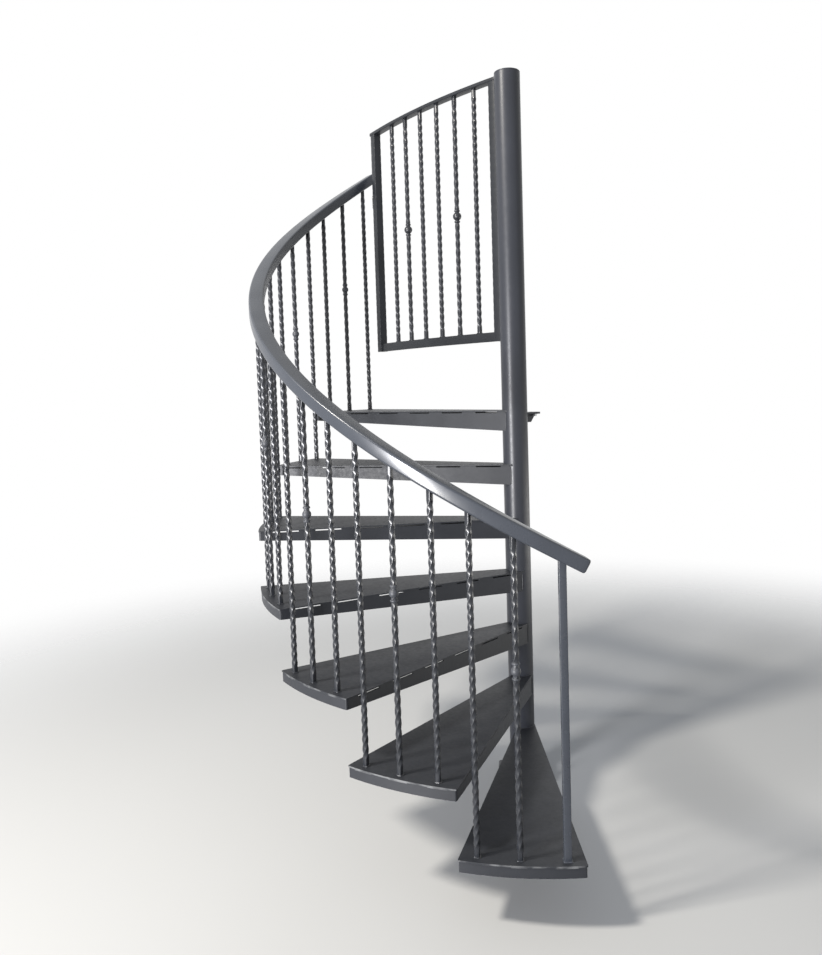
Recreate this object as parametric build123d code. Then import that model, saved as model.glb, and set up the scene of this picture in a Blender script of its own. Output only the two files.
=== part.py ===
from build123d import *
import os
from math import asin, atan2, cos, degrees, hypot, radians, sin

os.makedirs("parts", exist_ok=True)

# Millimetres, +Z up. The origin is the middle of the base plate's underside, on the column's axis.
# Azimuths are degrees counterclockwise from +X seen from above. The stair climbs clockwise,
# and its first tread points along -Y, towards the person about to climb.

# The climb
rise = 216.0                  # from one tread's top to the next
tread_count = 7               # the deck, which is not part of the stair, is the next level up
step_angle = 20.95            # turn from one tread to the next
first_nosing_azimuth = 280.1  # outer front corner of the lowest tread

# Column, cap and base plate
column_diameter = 101.6
column_wall = 5.7
cap_thickness = 6.0
cap_edge_radius = 4.0
base_width = 203.0
base_thickness = 12.0
base_corner_radius = 12.0
anchor_spacing = 152.0        # hole to hole, both ways
anchor_hole_diameter = 14.0

# Treads: a top plate on two side bars and a curved rim bar
tread_radius = 1036.0         # outer edge of the top plate
tread_angle = 21.2            # angle between the plate's outer corners
plate_thickness = 5.0
plate_overhang = 2.0          # plate beyond the faces of the bars
nosing_offset = 50.5          # column's axis to the plate's front edge, squarely
back_offset = 14.0            # column's axis to the plate's back edge, squarely
bar_thickness = 6.0
frame_depth_at_rim = 33.0     # below the top plate
frame_depth_at_column = 77.0
slot_length = 100.0           # relief slots between the weld stitches, under the plate
slot_height = 5.0
slot_pitch = 165.0
slot_start = 40.0             # from the column end of the bar to the first slot
slot_count = 6

# Newel post and twisted balusters
baluster_inset = 31.0         # middle of a baluster to the tread's outer edge
baluster_thickness = 18.0     # round bar as heavy as the twisted 16 mm square bar it stands for
newel_azimuth = 277.1         # beside the lowest tread's front corner
newel_width = 22.2
newel_wall = 2.0
first_baluster_azimuth = 276.5    # where the lowest tread's first baluster would be; the newel stands there
baluster_step = 7.3           # angle between the balusters of one tread
baluster_tread_step = 21.12   # angle between the first balusters of two treads
balusters_a_tread = 3
knuckle_share = 0.59          # height of the knuckle as a share of the baluster
knuckle_ball_diameter = 30.0
knuckle_collar_diameter = 25.0
knuckle_collar_height = 7.0
knuckle_height = 54.0
seat_gap = 0.2                # weld line between a bar and the piece it meets

# Handrail: a tube that climbs over the balusters
rail_underside_at_newel = 1104.5
rail_width = 58.0
rail_depth = 43.5
rail_wall = 3.0
rail_corner_radius = 8.0
rail_low_overhang = 3.7       # degrees past the newel
rail_high_azimuth = 132.0     # upper end, beside the gate
rail_steepness = 1.008        # its mean slope over the stair's slope
rail_easing = 0.069           # share by which it is flatter at the lower end and steeper at the upper end
rail_cap_thickness = 4.0
rail_span_angle = 5.0         # between the points that its curve runs through

# Gate on the deck's edge, bowed towards the stair
deck_depth = 228.0            # beam and boards, below the deck's top
gate_clearance = 64.0         # between the deck and the gate
gate_height = 1044.0
gate_inner_radius = 77.0      # column's axis to the middle of the hinge stile
gate_inner_azimuth = 132.2
gate_outer_azimuth = 133.9    # middle of the latch stile
gate_latch_gap = 48.0         # latch stile to the handrail's inner side, in plan
gate_bow = 30.0
gate_rail_width = 38.0
gate_rail_thickness = 14.0
gate_rail_overhang = 26.0     # top rail past the middle of the latch stile
stile_width = 36.0
stile_wall = 3.0
bottom_rail_height = 38.0
bottom_rail_thickness = 20.0
gate_baluster_count = 6
gate_first_gap = 109.0        # hinge stile to the first baluster, middle to middle
gate_baluster_pitch = 113.5
gate_knuckle_places = (2, 5)
gate_knuckle_share = 0.504
gate_knuckle_ball_diameter = 36.0

# Hinges between the column and the gate
hinge_inset = 156.0           # from the gate's bottom and top to the middle of a hinge
hinge_barrel_diameter = 18.0
hinge_barrel_height = 40.0
hinge_pin_diameter = 10.0
hinge_pin_clearance = 0.05    # radial
hinge_gap = 1.0               # washer gap between the two barrels
hinge_leaf_thickness = 4.0
hinge_leaf_length = 32.0
hinge_lug_thickness = 8.0
hinge_stand_off = 1.5         # barrels clear of the stile's face

# Latch on the gate
latch_drop = 325.0            # below the gate's top
latch_plate_height = 60.0
latch_plate_thickness = 4.0
latch_bolt_diameter = 12.0
latch_bolt_reach = 24.0

# Gusseted bracket from the column to the underside of the deck's edge beam
bracket_azimuth = 41.2
bracket_width = 56.0
bracket_thickness = 8.0
bracket_reach = 112.0         # column's axis to the plate's end
gusset_depth = 33.0           # below the plate
gusset_top_reach = 108.0
gusset_bottom_reach = 84.0
bracket_hole_reach = 92.0
bracket_hole_spacing = 34.0
bracket_hole_diameter = 11.0

column_radius = column_diameter / 2
deck_height = (tread_count + 1) * rise
gate_bottom = deck_height + gate_clearance
gate_top = gate_bottom + gate_height
column_height = gate_top - cap_thickness         # the cap is level with the gate's top
bracket_top = deck_height - deck_depth           # face that meets the underside of the deck's beam
baluster_radius = tread_radius - baluster_inset
gate_outer_radius = baluster_radius - rail_width / 2 - gate_latch_gap - stile_width / 2
rail_mean_slope = rail_steepness * rise / radians(step_angle)   # rise for each radian of turn
rail_low_azimuth = newel_azimuth + rail_low_overhang
rail_turn = radians(rail_low_azimuth - rail_high_azimuth)


def save(shape, name):
    shape.label = name
    export_step(shape, f"parts/{name}.step")


def polar(radius, azimuth, z=0.0):
    return Vector(radius * cos(radians(azimuth)), radius * sin(radians(azimuth)), z)


# Height the handrail has gained since its lower end, and its angle to level, at an azimuth
def rail_climb(azimuth):
    turn = radians(rail_low_azimuth - azimuth)
    return rail_mean_slope * turn * (1 - rail_easing + rail_easing * turn / rail_turn)


def rail_pitch(azimuth):
    turn = radians(rail_low_azimuth - azimuth)
    slope = rail_mean_slope * (1 - rail_easing + 2 * rail_easing * turn / rail_turn)
    return degrees(atan2(slope, baluster_radius))


def rail_underside(azimuth):
    return rail_underside_at_newel + rail_climb(azimuth) - rail_climb(newel_azimuth)


# Base plate with four anchor holes
def make_base_plate():
    plate = extrude(RectangleRounded(base_width, base_width, base_corner_radius), base_thickness)
    holes = GridLocations(anchor_spacing, anchor_spacing, 2, 2) * Cylinder(anchor_hole_diameter / 2, base_thickness * 3)
    return plate - holes


# Column tube, standing on the base plate
def make_column():
    length = column_height - base_thickness
    ring = Circle(column_radius) - Circle(column_radius - column_wall)
    return Pos(0, 0, base_thickness) * extrude(ring, length)


def make_cap():
    cap = Pos(0, 0, column_height) * extrude(Circle(column_radius), cap_thickness)
    top_edge = cap.edges().group_by(Axis.Z)[-1]
    return fillet(top_edge, cap_edge_radius)


# Straight side of a tread: its inner end, beside the column, and its outer corner on the rim.
# The outer corner of the plate is at the given azimuth; inset moves the line in.
def side_line(azimuth, offset, sign, inset):
    direction = azimuth - sign * degrees(asin(offset / tread_radius))
    near = offset - inset
    radius = tread_radius - inset
    foot = polar(near, direction + sign * 90)
    corner = foot + polar((radius ** 2 - near ** 2) ** 0.5, direction)
    return foot, corner


# Plan of a tread whose front corner is on +X; the column is cut out later
def tread_plan(inset):
    front_foot, front_corner = side_line(0, nosing_offset, 1, inset)
    back_foot, back_corner = side_line(-tread_angle, back_offset, -1, inset)
    middle = polar(tread_radius - inset, -tread_angle / 2)
    outline = [
        Line(front_foot, front_corner),
        ThreePointArc(front_corner, middle, back_corner),
        Line(back_corner, back_foot),
        Line(back_foot, (0, 0)),
        Line((0, 0), front_foot),
    ]
    return make_face(outline)


# Top plate of a tread, with its top at z = 0
def make_tread_plate():
    plate = Pos(0, 0, -plate_thickness) * extrude(tread_plan(0), plate_thickness)
    return plate - Cylinder(column_radius, plate_thickness * 4)


# One side bar: a tapered flat with relief slots, from the column to inside the rim bar
def make_side_bar(azimuth, offset, sign):
    foot, corner = side_line(azimuth, offset, sign, plate_overhang)
    direction = azimuth - sign * degrees(asin(offset / tread_radius))
    length = (corner - foot).length
    start = (column_radius ** 2 - (offset - plate_overhang) ** 2) ** 0.5
    top = -plate_thickness - seat_gap
    side = [(0, top), (length, top), (length, top - frame_depth_at_rim), (start, top - frame_depth_at_column)]
    side.append((0, top - frame_depth_at_column))
    bar = extrude(Plane.XZ * make_face(Polyline(*side, close=True)), sign * bar_thickness)
    for i in range(slot_count):
        along = start + slot_start + slot_length / 2 + i * slot_pitch
        bar = bar - Pos(along, 0, top - slot_height / 2) * Box(slot_length, bar_thickness * 4, slot_height)
    bar = Pos(foot) * Rot(0, 0, direction) * bar
    inside_rim = Pos(0, 0, -frame_depth_at_column * 2) * extrude(Circle(tread_radius - plate_overhang - bar_thickness - seat_gap), rise)
    return (bar & inside_rim) - Cylinder(column_radius, rise)


# Curved rim bar, closed at both ends by the plate's outline
def make_rim():
    ring = tread_plan(plate_overhang) - Circle(tread_radius - plate_overhang - bar_thickness)
    return Pos(0, 0, -plate_thickness - frame_depth_at_rim) * extrude(ring, frame_depth_at_rim)


# A plain bar with a top cut to the handrail's slope
def make_post(azimuth, foot, section):
    top = rail_underside(azimuth) - seat_gap
    reach = newel_width
    bar = Pos(0, 0, foot) * extrude(section, top + reach - foot)
    slope_cut = Pos(0, 0, top) * Rot(-rail_pitch(azimuth), 0, 0) * Pos(0, 0, reach * 2) * Box(reach * 4, reach * 4, reach * 4)
    bar = bar - slope_cut
    return Pos(polar(baluster_radius, azimuth)) * Rot(0, 0, azimuth) * bar


# Ball between two collars, centred on z = 0
def make_knuckle(ball_diameter):
    ball = Sphere(ball_diameter / 2)
    collar = Cylinder(knuckle_collar_diameter / 2, knuckle_collar_height)
    offset = (knuckle_height - knuckle_collar_height) / 2
    neck = Cylinder(baluster_thickness / 2, knuckle_height)
    return ball + neck + Pos(0, 0, offset) * collar + Pos(0, 0, -offset) * collar


def make_newel():
    outer = Rectangle(newel_width, newel_width)
    inner = Rectangle(newel_width - 2 * newel_wall, newel_width - 2 * newel_wall)
    return make_post(newel_azimuth, rise, outer - inner)


# The balusters of one tread; the middle one carries a knuckle
def make_balusters(tread):
    foot = tread * rise
    bars = []
    for place in range(balusters_a_tread):
        if tread == 1 and place == 0:
            continue
        azimuth = first_baluster_azimuth - (tread - 1) * baluster_tread_step - place * baluster_step
        bar = make_post(azimuth, foot, Circle(baluster_thickness / 2))
        if place == 1:
            height = foot + knuckle_share * (rail_underside(azimuth) - foot)
            bar = bar + Pos(polar(baluster_radius, azimuth, height)) * make_knuckle(knuckle_ball_diameter)
        bars.append(bar)
    return Compound(children=bars)


# Point on the handrail's middle line
def rail_middle(azimuth):
    return polar(baluster_radius, azimuth, rail_underside(azimuth) + rail_depth / 2 / cos(radians(rail_pitch(azimuth))))


# Handrail between two azimuths
def make_rail(low, high, outer_size, inner_size=None):
    spans = max(4, round((low - high) / rail_span_angle))
    path = Spline(*[rail_middle(low + (high - low) * i / spans) for i in range(spans + 1)])
    start = Plane(origin=path @ 0, x_dir=polar(1, low), z_dir=path % 0)
    rail = sweep(start * RectangleRounded(*outer_size), path=path, is_frenet=True)
    if inner_size:
        rail = rail - sweep(start * RectangleRounded(*inner_size), path=path, is_frenet=True)
    return rail


rail_outer = (rail_width, rail_depth, rail_corner_radius)
rail_inner = (rail_width - 2 * rail_wall, rail_depth - 2 * rail_wall, rail_corner_radius - rail_wall)
rail_cap_angle = degrees(rail_cap_thickness / baluster_radius)

save(make_base_plate(), "base_plate")
save(make_column(), "center_column")
save(make_cap(), "column_cap")

tread_plate = make_tread_plate()
tread_front_bar = make_side_bar(0, nosing_offset, 1)
tread_back_bar = make_side_bar(-tread_angle, back_offset, -1)
tread_rim = make_rim()
for number in range(1, tread_count + 1):
    place = Pos(0, 0, number * rise) * Rot(0, 0, first_nosing_azimuth - (number - 1) * step_angle)
    save(place * tread_plate, f"tread_{number}_plate")
    save(place * tread_front_bar, f"tread_{number}_front_bar")
    save(place * tread_back_bar, f"tread_{number}_back_bar")
    save(place * tread_rim, f"tread_{number}_rim")
    save(make_balusters(number), f"tread_{number}_balusters")

save(make_newel(), "newel_post")
save(make_rail(rail_low_azimuth, rail_high_azimuth, rail_outer, rail_inner), "handrail")
save(make_rail(rail_low_azimuth + rail_cap_angle, rail_low_azimuth, rail_outer), "handrail_lower_cap")
save(make_rail(rail_high_azimuth, rail_high_azimuth - rail_cap_angle, rail_outer), "handrail_upper_cap")

# Gate: chord from the hinge stile to the latch stile, in plan
hinge_end = polar(gate_inner_radius, gate_inner_azimuth)
latch_end = polar(gate_outer_radius, gate_outer_azimuth)
chord = latch_end - hinge_end
chord_length = chord.length
chord_azimuth = degrees(atan2(chord.Y, chord.X))
bow_radius = chord_length ** 2 / (8 * gate_bow) + gate_bow / 2
# In the gate's own frame the chord runs along +X and the bow is towards +Y, the stair's side
gate_frame = Pos(hinge_end) * Rot(0, 0, chord_azimuth)
bow_centre = Vector(chord_length / 2, gate_bow - bow_radius)
half_bow = degrees(atan2(chord_length / 2, bow_radius - gate_bow))
rail_seat = gate_top - gate_rail_thickness


def on_bow(angle, z=0.0):
    return Vector(bow_centre.X + bow_radius * sin(radians(angle)), bow_centre.Y + bow_radius * cos(radians(angle)), z)


# Flat bar that follows the bow between two angles
def make_bow_bar(start, end, width, thickness):
    def edge(radius):
        points = []
        for angle in (start, (start + end) / 2, end):
            points.append((bow_centre.X + radius * sin(radians(angle)), bow_centre.Y + radius * cos(radians(angle))))
        return points
    outside = edge(bow_radius + width / 2)
    inside = edge(bow_radius - width / 2)
    outline = [
        ThreePointArc(*outside),
        Line(outside[2], inside[2]),
        ThreePointArc(*inside),
        Line(inside[0], outside[0]),
    ]
    return extrude(make_face(outline), thickness)


def make_stile(angle):
    outer = RectangleRounded(stile_width, stile_width, stile_wall)
    inner = Rectangle(stile_width - 2 * stile_wall, stile_width - 2 * stile_wall)
    bar = extrude(outer - inner, rail_seat - gate_bottom)
    return gate_frame * Pos(on_bow(angle, gate_bottom)) * Rot(0, 0, -angle) * bar


stile_angle = degrees((stile_width / 2 + seat_gap) / bow_radius)
overhang_angle = degrees(gate_rail_overhang / bow_radius)
top_rail = make_bow_bar(-half_bow - stile_angle, half_bow + overhang_angle, gate_rail_width, gate_rail_thickness)
bottom_rail = make_bow_bar(-half_bow + stile_angle, half_bow - stile_angle, bottom_rail_thickness, bottom_rail_height)
save(gate_frame * Pos(0, 0, rail_seat) * top_rail, "gate_top_rail")
save(gate_frame * Pos(0, 0, gate_bottom) * bottom_rail, "gate_bottom_rail")
save(make_stile(-half_bow), "gate_hinge_stile")
save(make_stile(half_bow), "gate_latch_stile")

gate_bars = []
bar_foot = gate_bottom + bottom_rail_height
for place in range(1, gate_baluster_count + 1):
    angle = -half_bow + degrees((gate_first_gap + (place - 1) * gate_baluster_pitch) / bow_radius)
    bar = Pos(on_bow(angle, bar_foot)) * extrude(Circle(baluster_thickness / 2), rail_seat - bar_foot)
    if place in gate_knuckle_places:
        height = bar_foot + gate_knuckle_share * (rail_seat - bar_foot)
        bar = bar + Pos(on_bow(angle, height)) * make_knuckle(gate_knuckle_ball_diameter)
    gate_bars.append(gate_frame * bar)
save(Compound(children=gate_bars), "gate_balusters")

# Hinges: the barrels stand beside the hinge stile's edge on the deck's side
stile_frame = gate_frame * Pos(on_bow(-half_bow)) * Rot(0, 0, half_bow)
hinge_x = -stile_width / 2
hinge_y = -stile_width / 2 - hinge_stand_off - hinge_barrel_diameter / 2
hinge_axis = (stile_frame * Pos(hinge_x, hinge_y, 0)).position


def make_fixed_hinge(height):
    barrel = Pos(hinge_axis.X, hinge_axis.Y, height - hinge_barrel_height) * extrude(Circle(hinge_barrel_diameter / 2), hinge_barrel_height)
    pin = Pos(hinge_axis.X, hinge_axis.Y, height) * extrude(Circle(hinge_pin_diameter / 2), hinge_barrel_height)
    reach = hypot(hinge_axis.X, hinge_axis.Y)
    lug = Pos(0, 0, height - hinge_barrel_height / 2) * Rot(0, 0, degrees(atan2(hinge_axis.Y, hinge_axis.X)))
    lug = lug * Pos(reach / 2, 0, 0) * Box(reach, hinge_lug_thickness, hinge_barrel_height)
    return barrel + pin + lug - Cylinder(column_radius, column_height * 2)


def make_hinge_leaf(height):
    bore = hinge_pin_diameter / 2 + hinge_pin_clearance
    ring = Circle(hinge_barrel_diameter / 2) - Circle(bore)
    low = height + hinge_gap
    barrel = Pos(hinge_x, hinge_y) * ring
    leaf = Pos(hinge_x + hinge_leaf_length / 2, -stile_width / 2 - hinge_leaf_thickness / 2)
    leaf = leaf * Rectangle(hinge_leaf_length, hinge_leaf_thickness)
    leaf = leaf - Pos(hinge_x, hinge_y) * Circle(bore)
    return stile_frame * Pos(0, 0, low) * extrude(barrel + leaf, hinge_barrel_height)


for level, height in {"lower": gate_bottom + hinge_inset, "upper": gate_top - hinge_inset}.items():
    save(make_fixed_hinge(height), f"{level}_hinge_lug")
    save(make_hinge_leaf(height), f"{level}_hinge_leaf")

# Latch: a plate on the latch stile's outer face with a bolt through it
latch_frame = gate_frame * Pos(on_bow(half_bow)) * Rot(0, 0, -half_bow)
latch_face = stile_width / 2
latch_plate = Pos(latch_face + latch_plate_thickness / 2, 0, gate_top - latch_drop)
latch_plate = latch_plate * Box(latch_plate_thickness, stile_width, latch_plate_height)
latch_bolt = Pos(latch_face + latch_bolt_reach / 2, 0, gate_top - latch_drop)
latch_bolt = latch_bolt * Rot(0, 90, 0) * Cylinder(latch_bolt_diameter / 2, latch_bolt_reach)
save(latch_frame * (latch_plate + latch_bolt), "gate_latch")

# Deck bracket: a plate with two bolt holes on a gusset, both welded to the column
plate_middle = bracket_top - bracket_thickness / 2
plate = Pos(bracket_reach / 2, 0, plate_middle) * Box(bracket_reach, bracket_width, bracket_thickness)
for side in (1, -1):
    hole = Pos(bracket_hole_reach, side * bracket_hole_spacing / 2, plate_middle)
    plate = plate - hole * Cylinder(bracket_hole_diameter / 2, bracket_thickness * 3)
gusset_top = bracket_top - bracket_thickness
gusset_bottom = gusset_top - gusset_depth
gusset_side = [(0, gusset_top), (gusset_top_reach, gusset_top), (gusset_bottom_reach, gusset_bottom), (0, gusset_bottom)]
gusset = extrude(Plane.XZ * make_face(Polyline(*gusset_side, close=True)), bracket_thickness / 2, both=True)
bracket = Rot(0, 0, bracket_azimuth) * (plate + gusset) - Cylinder(column_radius, column_height * 2)
save(bracket, "deck_bracket")
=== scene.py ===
import math

import bmesh
import bpy
from mathutils import Matrix, Vector


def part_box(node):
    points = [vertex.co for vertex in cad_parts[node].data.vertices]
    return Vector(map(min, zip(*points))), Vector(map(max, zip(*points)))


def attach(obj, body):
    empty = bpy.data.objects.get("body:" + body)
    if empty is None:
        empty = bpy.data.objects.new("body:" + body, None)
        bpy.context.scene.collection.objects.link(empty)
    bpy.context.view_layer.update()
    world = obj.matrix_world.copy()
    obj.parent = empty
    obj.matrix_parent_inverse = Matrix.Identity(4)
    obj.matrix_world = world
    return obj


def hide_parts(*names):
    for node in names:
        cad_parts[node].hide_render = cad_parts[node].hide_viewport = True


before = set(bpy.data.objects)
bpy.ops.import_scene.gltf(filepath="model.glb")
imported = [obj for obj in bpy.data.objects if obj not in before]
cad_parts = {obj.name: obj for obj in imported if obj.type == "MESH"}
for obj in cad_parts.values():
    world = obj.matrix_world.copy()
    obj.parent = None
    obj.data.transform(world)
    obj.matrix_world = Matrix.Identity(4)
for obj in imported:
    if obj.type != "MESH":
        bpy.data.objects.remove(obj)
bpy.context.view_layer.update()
print("frame loaded:", len(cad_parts), "pieces")

# Tables below are in millimetres and degrees. Azimuths run counterclockwise from +X, seen from above,
# and the stair climbs clockwise round the column on the Z axis.
metre = 0.001

layout = {
    "rise": 216.0,              # tread top to tread top
    "treads": 7,
    "step": 20.95,              # turn between treads
    "firstNosing": 280.1,       # outer front corner of the lowest tread
    "newelAzimuth": 277.1,
    "postAzimuth": 276.5,       # where the lowest tread's first baluster would be
    "postStep": 7.3,
    "postTreadStep": 21.12,     # between the first balusters of two treads
    "postsPerTread": 3,
    "postRadius": 1005.0,
    "columnRadius": 50.8,
}


def polar(radius, azimuth, z=0.0):
    turn = math.radians(azimuth)
    return Vector((radius * math.cos(turn), radius * math.sin(turn), z))


def azimuthOf(point):
    return math.degrees(math.atan2(point.y, point.x))


def turnedTo(azimuth):
    return Matrix.Rotation(math.radians(azimuth), 4, "Z")


def placed(point, azimuth=0.0):
    return Matrix.Translation(point) @ turnedTo(azimuth)


def roundOutline(radius, count):
    return [polar(radius, 360 * i / count) for i in range(count)]


def boxOutline(width, depth, corner, steps=3):
    points = []
    for quarter, (x, y) in enumerate(((1, 1), (-1, 1), (-1, -1), (1, -1))):
        centre = Vector((x * (width / 2 - corner), y * (depth / 2 - corner), 0))
        for i in range(steps + 1):
            points.append(centre + polar(corner, 90 * (quarter + i / steps)))
    return points


def arcPoints(radius, start, end, count):
    return [polar(radius, start + (end - start) * i / count) for i in range(count + 1)]


def raised(matrix, outline, z=0.0):
    return [matrix @ (point + Vector((0, 0, z))) for point in outline]


# Outline cut on a slope along its own Y, as a post is under the handrail
def sloped(matrix, outline, z, slope):
    return [matrix @ (point + Vector((0, 0, z - slope * point.y))) for point in outline]


# How far out a line that passes the axis at some distance meets a circle round the axis
def reachOf(radius, distance):
    return math.sqrt(radius ** 2 - distance ** 2)


# How much a rounded end is drawn in at some distance from its tip
def drawnIn(fromTip, radius):
    return radius - reachOf(radius, max(0.0, radius - fromTip))


# Shares of a length, close together where the roundings of its two ends need them
def stationShares(length, fine, count):
    ends = [value / length for value in fine]
    return ends + [i / count for i in range(1, count)] + [1 - share for share in ends[::-1]]


# Skin over a row of rings that all have the same number of points
def addLoft(mesh, rings, capped=True, looped=False):
    rows = [[mesh.verts.new(point) for point in ring] for ring in rings]
    pairs = list(zip(rows, rows[1:]))
    if looped:
        pairs.append((rows[-1], rows[0]))
    for low, high in pairs:
        for i in range(len(low)):
            j = (i + 1) % len(low)
            mesh.faces.new((low[i], low[j], high[j], high[i]))
    if capped and not looped:
        mesh.faces.new(rows[0][::-1])
        mesh.faces.new(rows[-1])


# Shape turned on a lathe, from a list of (radius, height)
def addTurned(mesh, matrix, profile, count=32):
    addLoft(mesh, [raised(matrix, roundOutline(radius, count), z) for radius, z in profile])


# Weld bead along a path: a half-sunk cord of metal with the ripple that each pool of the weld leaves.
# Every bead is laid a few tenths of a millimetre off the steel, so that no face of it lies in the steel's own
weldLook = {"ripple": 3.2, "depth": 0.16, "spacing": 1.1, "sides": 7, "tip": 0.35, "growth": 0.22}


def addBead(mesh, path, radius, closed=False):
    points = [Vector(point) for point in path]
    if closed:
        points.append(points[0])
    lengths = [(b - a).length for a, b in zip(points, points[1:])]
    total = sum(lengths)
    count = max(4, round(total / weldLook["spacing"]))
    stations = []
    for i in range(count if closed else count + 1):
        left = total * i / count
        k = 0
        while k < len(lengths) - 1 and left > lengths[k]:
            left -= lengths[k]
            k += 1
        stations.append(points[k].lerp(points[k + 1], min(1.0, left / lengths[k])))
    turns = [2 * math.pi * side / weldLook["sides"] for side in range(weldLook["sides"])]
    rings = []
    for i, here in enumerate(stations):
        after = stations[(i + 1) % len(stations)] if closed else stations[min(i + 1, count)]
        before = stations[i - 1] if closed else stations[max(i - 1, 0)]
        along = (after - before).normalized()
        upright = abs(along.z) > 0.9
        across = along.orthogonal() if upright else along.cross(Vector((0, 0, 1)))
        across.normalize()
        up = across.cross(along)
        ripples = total * i / count / weldLook["ripple"]
        wave = 1 - weldLook["depth"] * (0.5 + 0.5 * math.cos(2 * math.pi * ripples))
        taper = 1.0 if closed else min(1.0, weldLook["tip"] + min(i, count - i) * weldLook["growth"])
        size = radius * wave * taper
        rings.append([here + size * (across * math.cos(turn) + up * math.sin(turn)) for turn in turns])
    addLoft(mesh, rings, capped=not closed, looped=closed)


# Weld bead round the foot of a square post
def addFootWeld(mesh, matrix, side, low, size):
    outline = boxOutline(side + 1, side + 1, corner=2, steps=2)
    addBead(mesh, raised(matrix, outline, low + 0.8), size, closed=True)


# Turns a bmesh in millimetres into a piece that rides on a body and stands for its CAD nodes
def addPiece(name, mesh, body, finish, nodes=(), bevel=0.0, sharp=38):
    bmesh.ops.scale(mesh, vec=(metre, metre, metre), verts=mesh.verts)
    bmesh.ops.recalc_face_normals(mesh, faces=mesh.faces)
    data = bpy.data.meshes.new(name)
    mesh.to_mesh(data)
    mesh.free()
    data.shade_smooth()
    data.set_sharp_from_angle(angle=math.radians(sharp))
    data.materials.append(finish)
    piece = bpy.data.objects.new(name, data)
    bpy.context.scene.collection.objects.link(piece)
    if bevel:
        rounding = piece.modifiers.new("rounding", "BEVEL")
        rounding.width = bevel * metre
        rounding.segments = 2
        rounding.limit_method = "ANGLE"
        rounding.angle_limit = math.radians(sharp)
        rounding.harden_normals = True
    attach(piece, body)
    if nodes:
        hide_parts(*nodes)


def toLinear(hexColour):
    values = [int(hexColour[i:i + 2], 16) / 255 for i in (1, 3, 5)]
    return [v / 12.92 if v <= 0.04045 else ((v + 0.055) / 1.055) ** 2.4 for v in values] + [1.0]


def perMetre(size):
    return 1 / (size * metre)


def newMaterial(name):
    material = bpy.data.materials.new(name)
    material.use_nodes = True
    return material, material.node_tree, material.node_tree.nodes["Principled BSDF"]


def addNode(tree, kind, options=None, values=None, links=None):
    node = tree.nodes.new(kind)
    for key, value in (options or {}).items():
        setattr(node, key, value)
    for key, value in (values or {}).items():
        node.inputs[key].default_value = value
    for key, source in (links or {}).items():
        tree.links.new(source, node.inputs[key])
    return node


# What all the powder coats share: the detail and roughness of each noise pattern, and which part of its
# range shows
coat = {
    "patterns": {"cloud": (4, 0.55), "film": (3, 0.5), "grime": (6, 0.62), "peel": (2, 0.5)},
    "dustFacing": (0.3, 1.0),       # how far up a face looks where dust starts, and where it is full
    "dustRange": (0.3, 0.75), "glossRange": (0.3, 0.7), "paintedGlintRange": (0.40, 0.62), "paintedGlintEdge": 0.3,
}
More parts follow.
